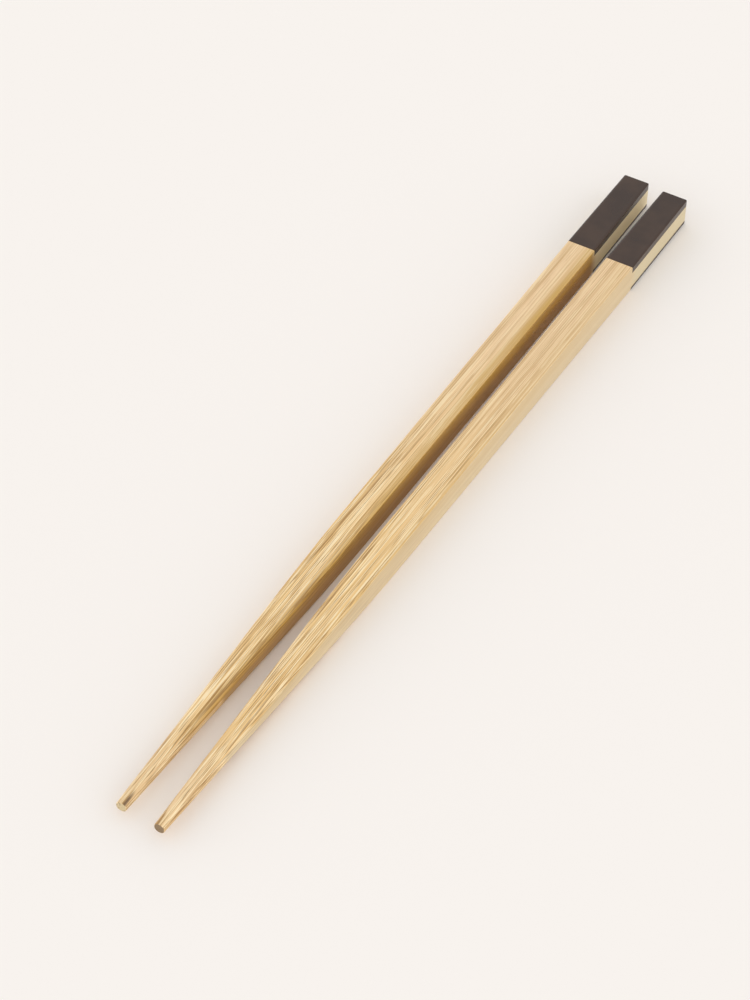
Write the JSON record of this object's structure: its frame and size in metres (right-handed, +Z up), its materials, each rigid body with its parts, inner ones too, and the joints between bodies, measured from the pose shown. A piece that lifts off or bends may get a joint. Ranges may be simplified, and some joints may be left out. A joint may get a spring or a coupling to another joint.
{
  "type": "pair of bamboo chopsticks",
  "caption": "Bamboo chopsticks lying side by side, with square handles, rounded tapering tips and dark plates let into the top and bottom of the handle ends, for eating by hand.",
  "frame": {"origin": "on the resting surface, under the middle of the pair", "axes": "+Y along the sticks from the tips towards the handle ends, +Z up from the resting surface, +X to the right stick when the tips point at the viewer"},
  "size_m": [0.0184, 0.2408, 0.0075],
  "materials": {
    "bamboo": "fine-grained bare bamboo, lightly oiled",
    "dark_plate": "polished dark brown"
  },
  "bodies": {
    "root": {"left_stick": "bamboo", "left_top_plate": "dark_plate", "left_bottom_plate": "dark_plate", "right_stick": "bamboo", "right_top_plate": "dark_plate", "right_bottom_plate": "dark_plate"}
  },
  "joints": []
}
